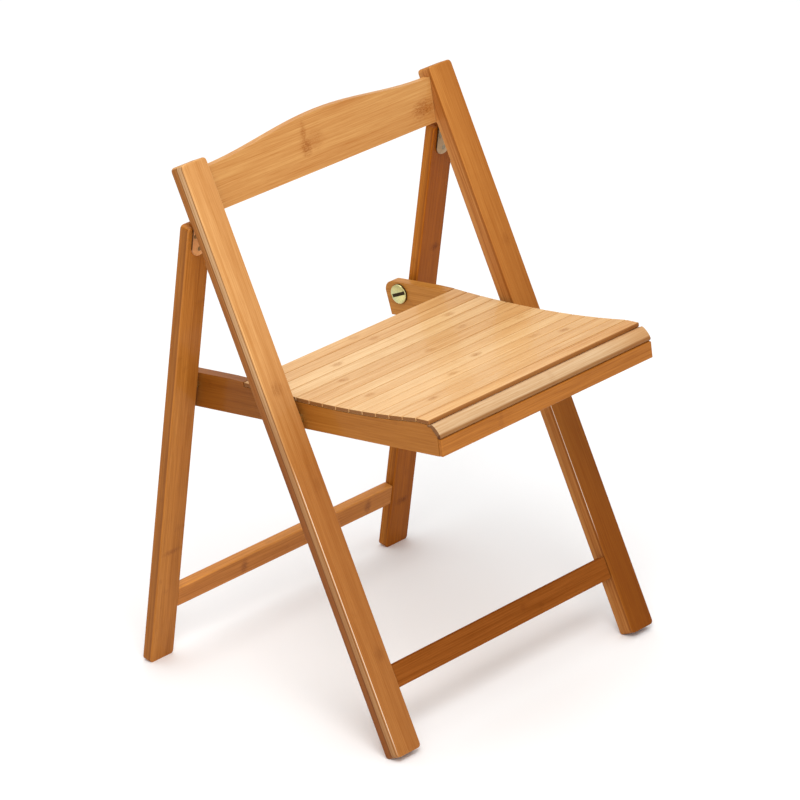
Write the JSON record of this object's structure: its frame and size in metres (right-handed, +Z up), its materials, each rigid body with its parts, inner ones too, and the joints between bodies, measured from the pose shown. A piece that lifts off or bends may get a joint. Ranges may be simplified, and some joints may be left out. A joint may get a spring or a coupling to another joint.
{
  "type": "folding chair",
  "caption": "Low folding chair of laminated bamboo: crowned backrest, dished slatted seat, two butt hinges and a seat that drops between the frames as it folds flat.",
  "frame": {"origin": "on the floor, at the middle of the bounding box of the open chair", "axes": "+X across the chair, to the right as seen from the front; +Y from the seat's front edge to its back; +Z up"},
  "size_m": [0.4, 0.4028, 0.5835],
  "materials": {
    "bamboo_frame": "satin",
    "bamboo_seat": "satin",
    "bamboo_edge": "satin",
    "yellow_zinc": "satin",
    "steel_screw": "satin",
    "brass_insert": "satin",
    "beech_dowel": "matt"
  },
  "bodies": {
    "front_frame": {"stile_left": "bamboo_frame", "stile_right": "bamboo_frame", "backrest_board": "bamboo_seat", "front_stretcher": "bamboo_frame", "backrest_dowel_left_lower": "beech_dowel", "backrest_dowel_left_upper": "beech_dowel", "backrest_dowel_right_lower": "beech_dowel", "backrest_dowel_right_upper": "beech_dowel", "front_stretcher_dowel_left": "beech_dowel", "front_stretcher_dowel_right": "beech_dowel", "hinge_leaf_stile_left": "yellow_zinc", "hinge_pin_left": "yellow_zinc", "hinge_screw_stile_left_1": "steel_screw", "hinge_screw_stile_left_2": "steel_screw", "hinge_screw_stile_left_3": "steel_screw", "pivot_bolt_left": "yellow_zinc", "pivot_spacer_left": "yellow_zinc", "pivot_insert_left": "brass_insert", "hinge_leaf_stile_right": "yellow_zinc", "hinge_pin_right": "yellow_zinc", "hinge_screw_stile_right_1": "steel_screw", "hinge_screw_stile_right_2": "steel_screw", "hinge_screw_stile_right_3": "steel_screw", "pivot_bolt_right": "yellow_zinc", "pivot_spacer_right": "yellow_zinc", "pivot_insert_right": "brass_insert"},
    "rear_frame": {"rear_leg_left": "bamboo_frame", "rear_leg_right": "bamboo_frame", "rear_stretcher": "bamboo_frame", "rear_stretcher_dowel_left": "beech_dowel", "rear_stretcher_dowel_right": "beech_dowel", "hinge_leaf_leg_left": "yellow_zinc", "hinge_screw_leg_left_1": "steel_screw", "hinge_screw_leg_left_2": "steel_screw", "hinge_screw_leg_left_3": "steel_screw", "hinge_leaf_leg_right": "yellow_zinc", "hinge_screw_leg_right_1": "steel_screw", "hinge_screw_leg_right_2": "steel_screw", "hinge_screw_leg_right_3": "steel_screw"},
    "seat": {"seat_rail_left": "bamboo_edge", "seat_rail_right": "bamboo_edge", "seat_slat_01": "bamboo_seat", "seat_slat_02": "bamboo_seat", "seat_slat_03": "bamboo_seat", "seat_slat_04": "bamboo_seat", "seat_slat_05": "bamboo_seat", "seat_slat_06": "bamboo_seat", "seat_slat_07": "bamboo_seat", "seat_slat_08": "bamboo_seat", "seat_slat_09": "bamboo_seat", "seat_slat_10": "bamboo_seat", "seat_slat_11": "bamboo_seat", "seat_slat_12": "bamboo_seat", "seat_slat_13": "bamboo_seat", "seat_slat_14": "bamboo_seat", "seat_nose_slat": "bamboo_seat", "seat_apron": "bamboo_edge", "slide_bolt_left": "yellow_zinc", "slide_bolt_right": "yellow_zinc"}
  },
  "joints": [
    {"name": "rear_frame_hinge", "type": "hinge", "parent": "front_frame", "child": "rear_frame", "pos_m": [0, 0.09868, 0.51551], "axis": [-1, 0, 0], "range_deg": [0, 35.16]},
    {"name": "seat_pivot", "type": "hinge", "parent": "front_frame", "child": "seat", "pos_m": [0, -0.00383, 0.32338], "axis": [-1, 0, 0], "range_deg": [0, 107.3]}
  ],
  "couplings": [
    {"joint": "seat_pivot", "follows": "rear_frame_hinge", "ratio": 3.05}
  ]
}
